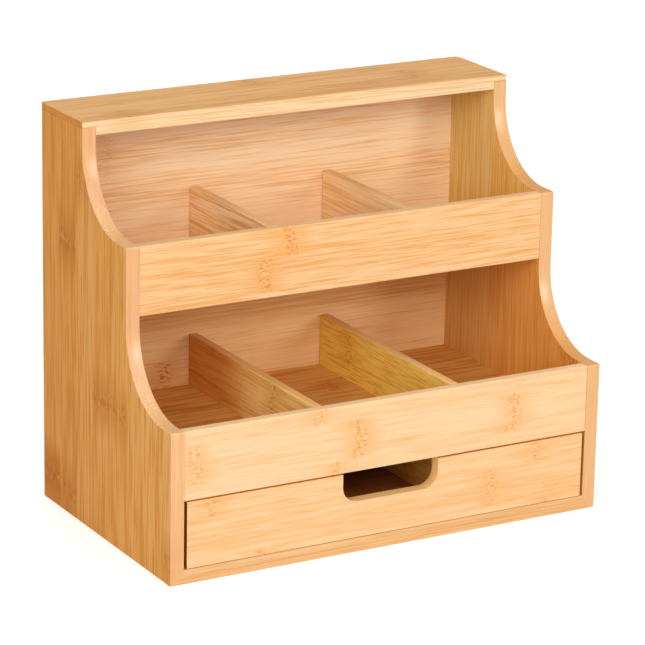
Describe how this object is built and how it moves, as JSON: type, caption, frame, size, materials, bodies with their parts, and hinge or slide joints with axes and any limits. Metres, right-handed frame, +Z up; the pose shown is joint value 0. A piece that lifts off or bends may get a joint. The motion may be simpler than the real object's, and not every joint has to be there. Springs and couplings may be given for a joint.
{
  "type": "tea organizer",
  "caption": "Stepped bamboo tea organizer: tiers of divided compartments with swept sides, over a full-width drawer with a finger notch.",
  "frame": {"origin": "centre of the rectangular footprint, on the floor that the case stands on", "axes": "+Z up, the front and the way the drawer opens towards -Y, +X to the right of someone facing the back panel from the front"},
  "size_m": [0.3, 0.178, 0.255],
  "materials": {
    "bamboo_side": "bamboo board with upright grain, clear satin varnish",
    "bamboo_panel": "bamboo board with grain across the width, clear satin varnish",
    "bamboo_front": "pale honey bamboo board with grain across the width, clear satin varnish",
    "bamboo_divider": "thin bamboo board with grain from front to back, clear satin varnish",
    "bamboo_drawer": "bamboo board, clear satin varnish",
    "pin_steel": "bright drawn steel"
  },
  "bodies": {
    "case": {"side_left": "bamboo_side", "side_right": "bamboo_side", "top_panel": "bamboo_panel", "base_panel": "bamboo_panel", "back_panel": "bamboo_panel", "lower_shelf": "bamboo_panel", "upper_shelf": "bamboo_panel", "lower_front_board": "bamboo_front", "upper_front_board": "bamboo_front", "lower_divider_left": "bamboo_divider", "lower_divider_right": "bamboo_divider", "upper_divider_left": "bamboo_divider", "upper_divider_right": "bamboo_divider", "base_pins": "pin_steel", "back_pins": "pin_steel"},
    "drawer": {"drawer_front": "bamboo_front", "drawer_side_left": "bamboo_drawer", "drawer_side_right": "bamboo_drawer", "drawer_back": "bamboo_drawer", "drawer_bottom": "bamboo_drawer", "drawer_divider_left": "bamboo_drawer", "drawer_divider_right": "bamboo_drawer", "drawer_pins": "pin_steel"}
  },
  "joints": [
    {"name": "drawer_slide", "type": "slide", "parent": "case", "child": "drawer", "axis": [0, -1, 0], "range_m": [0, 0.14]}
  ]
}
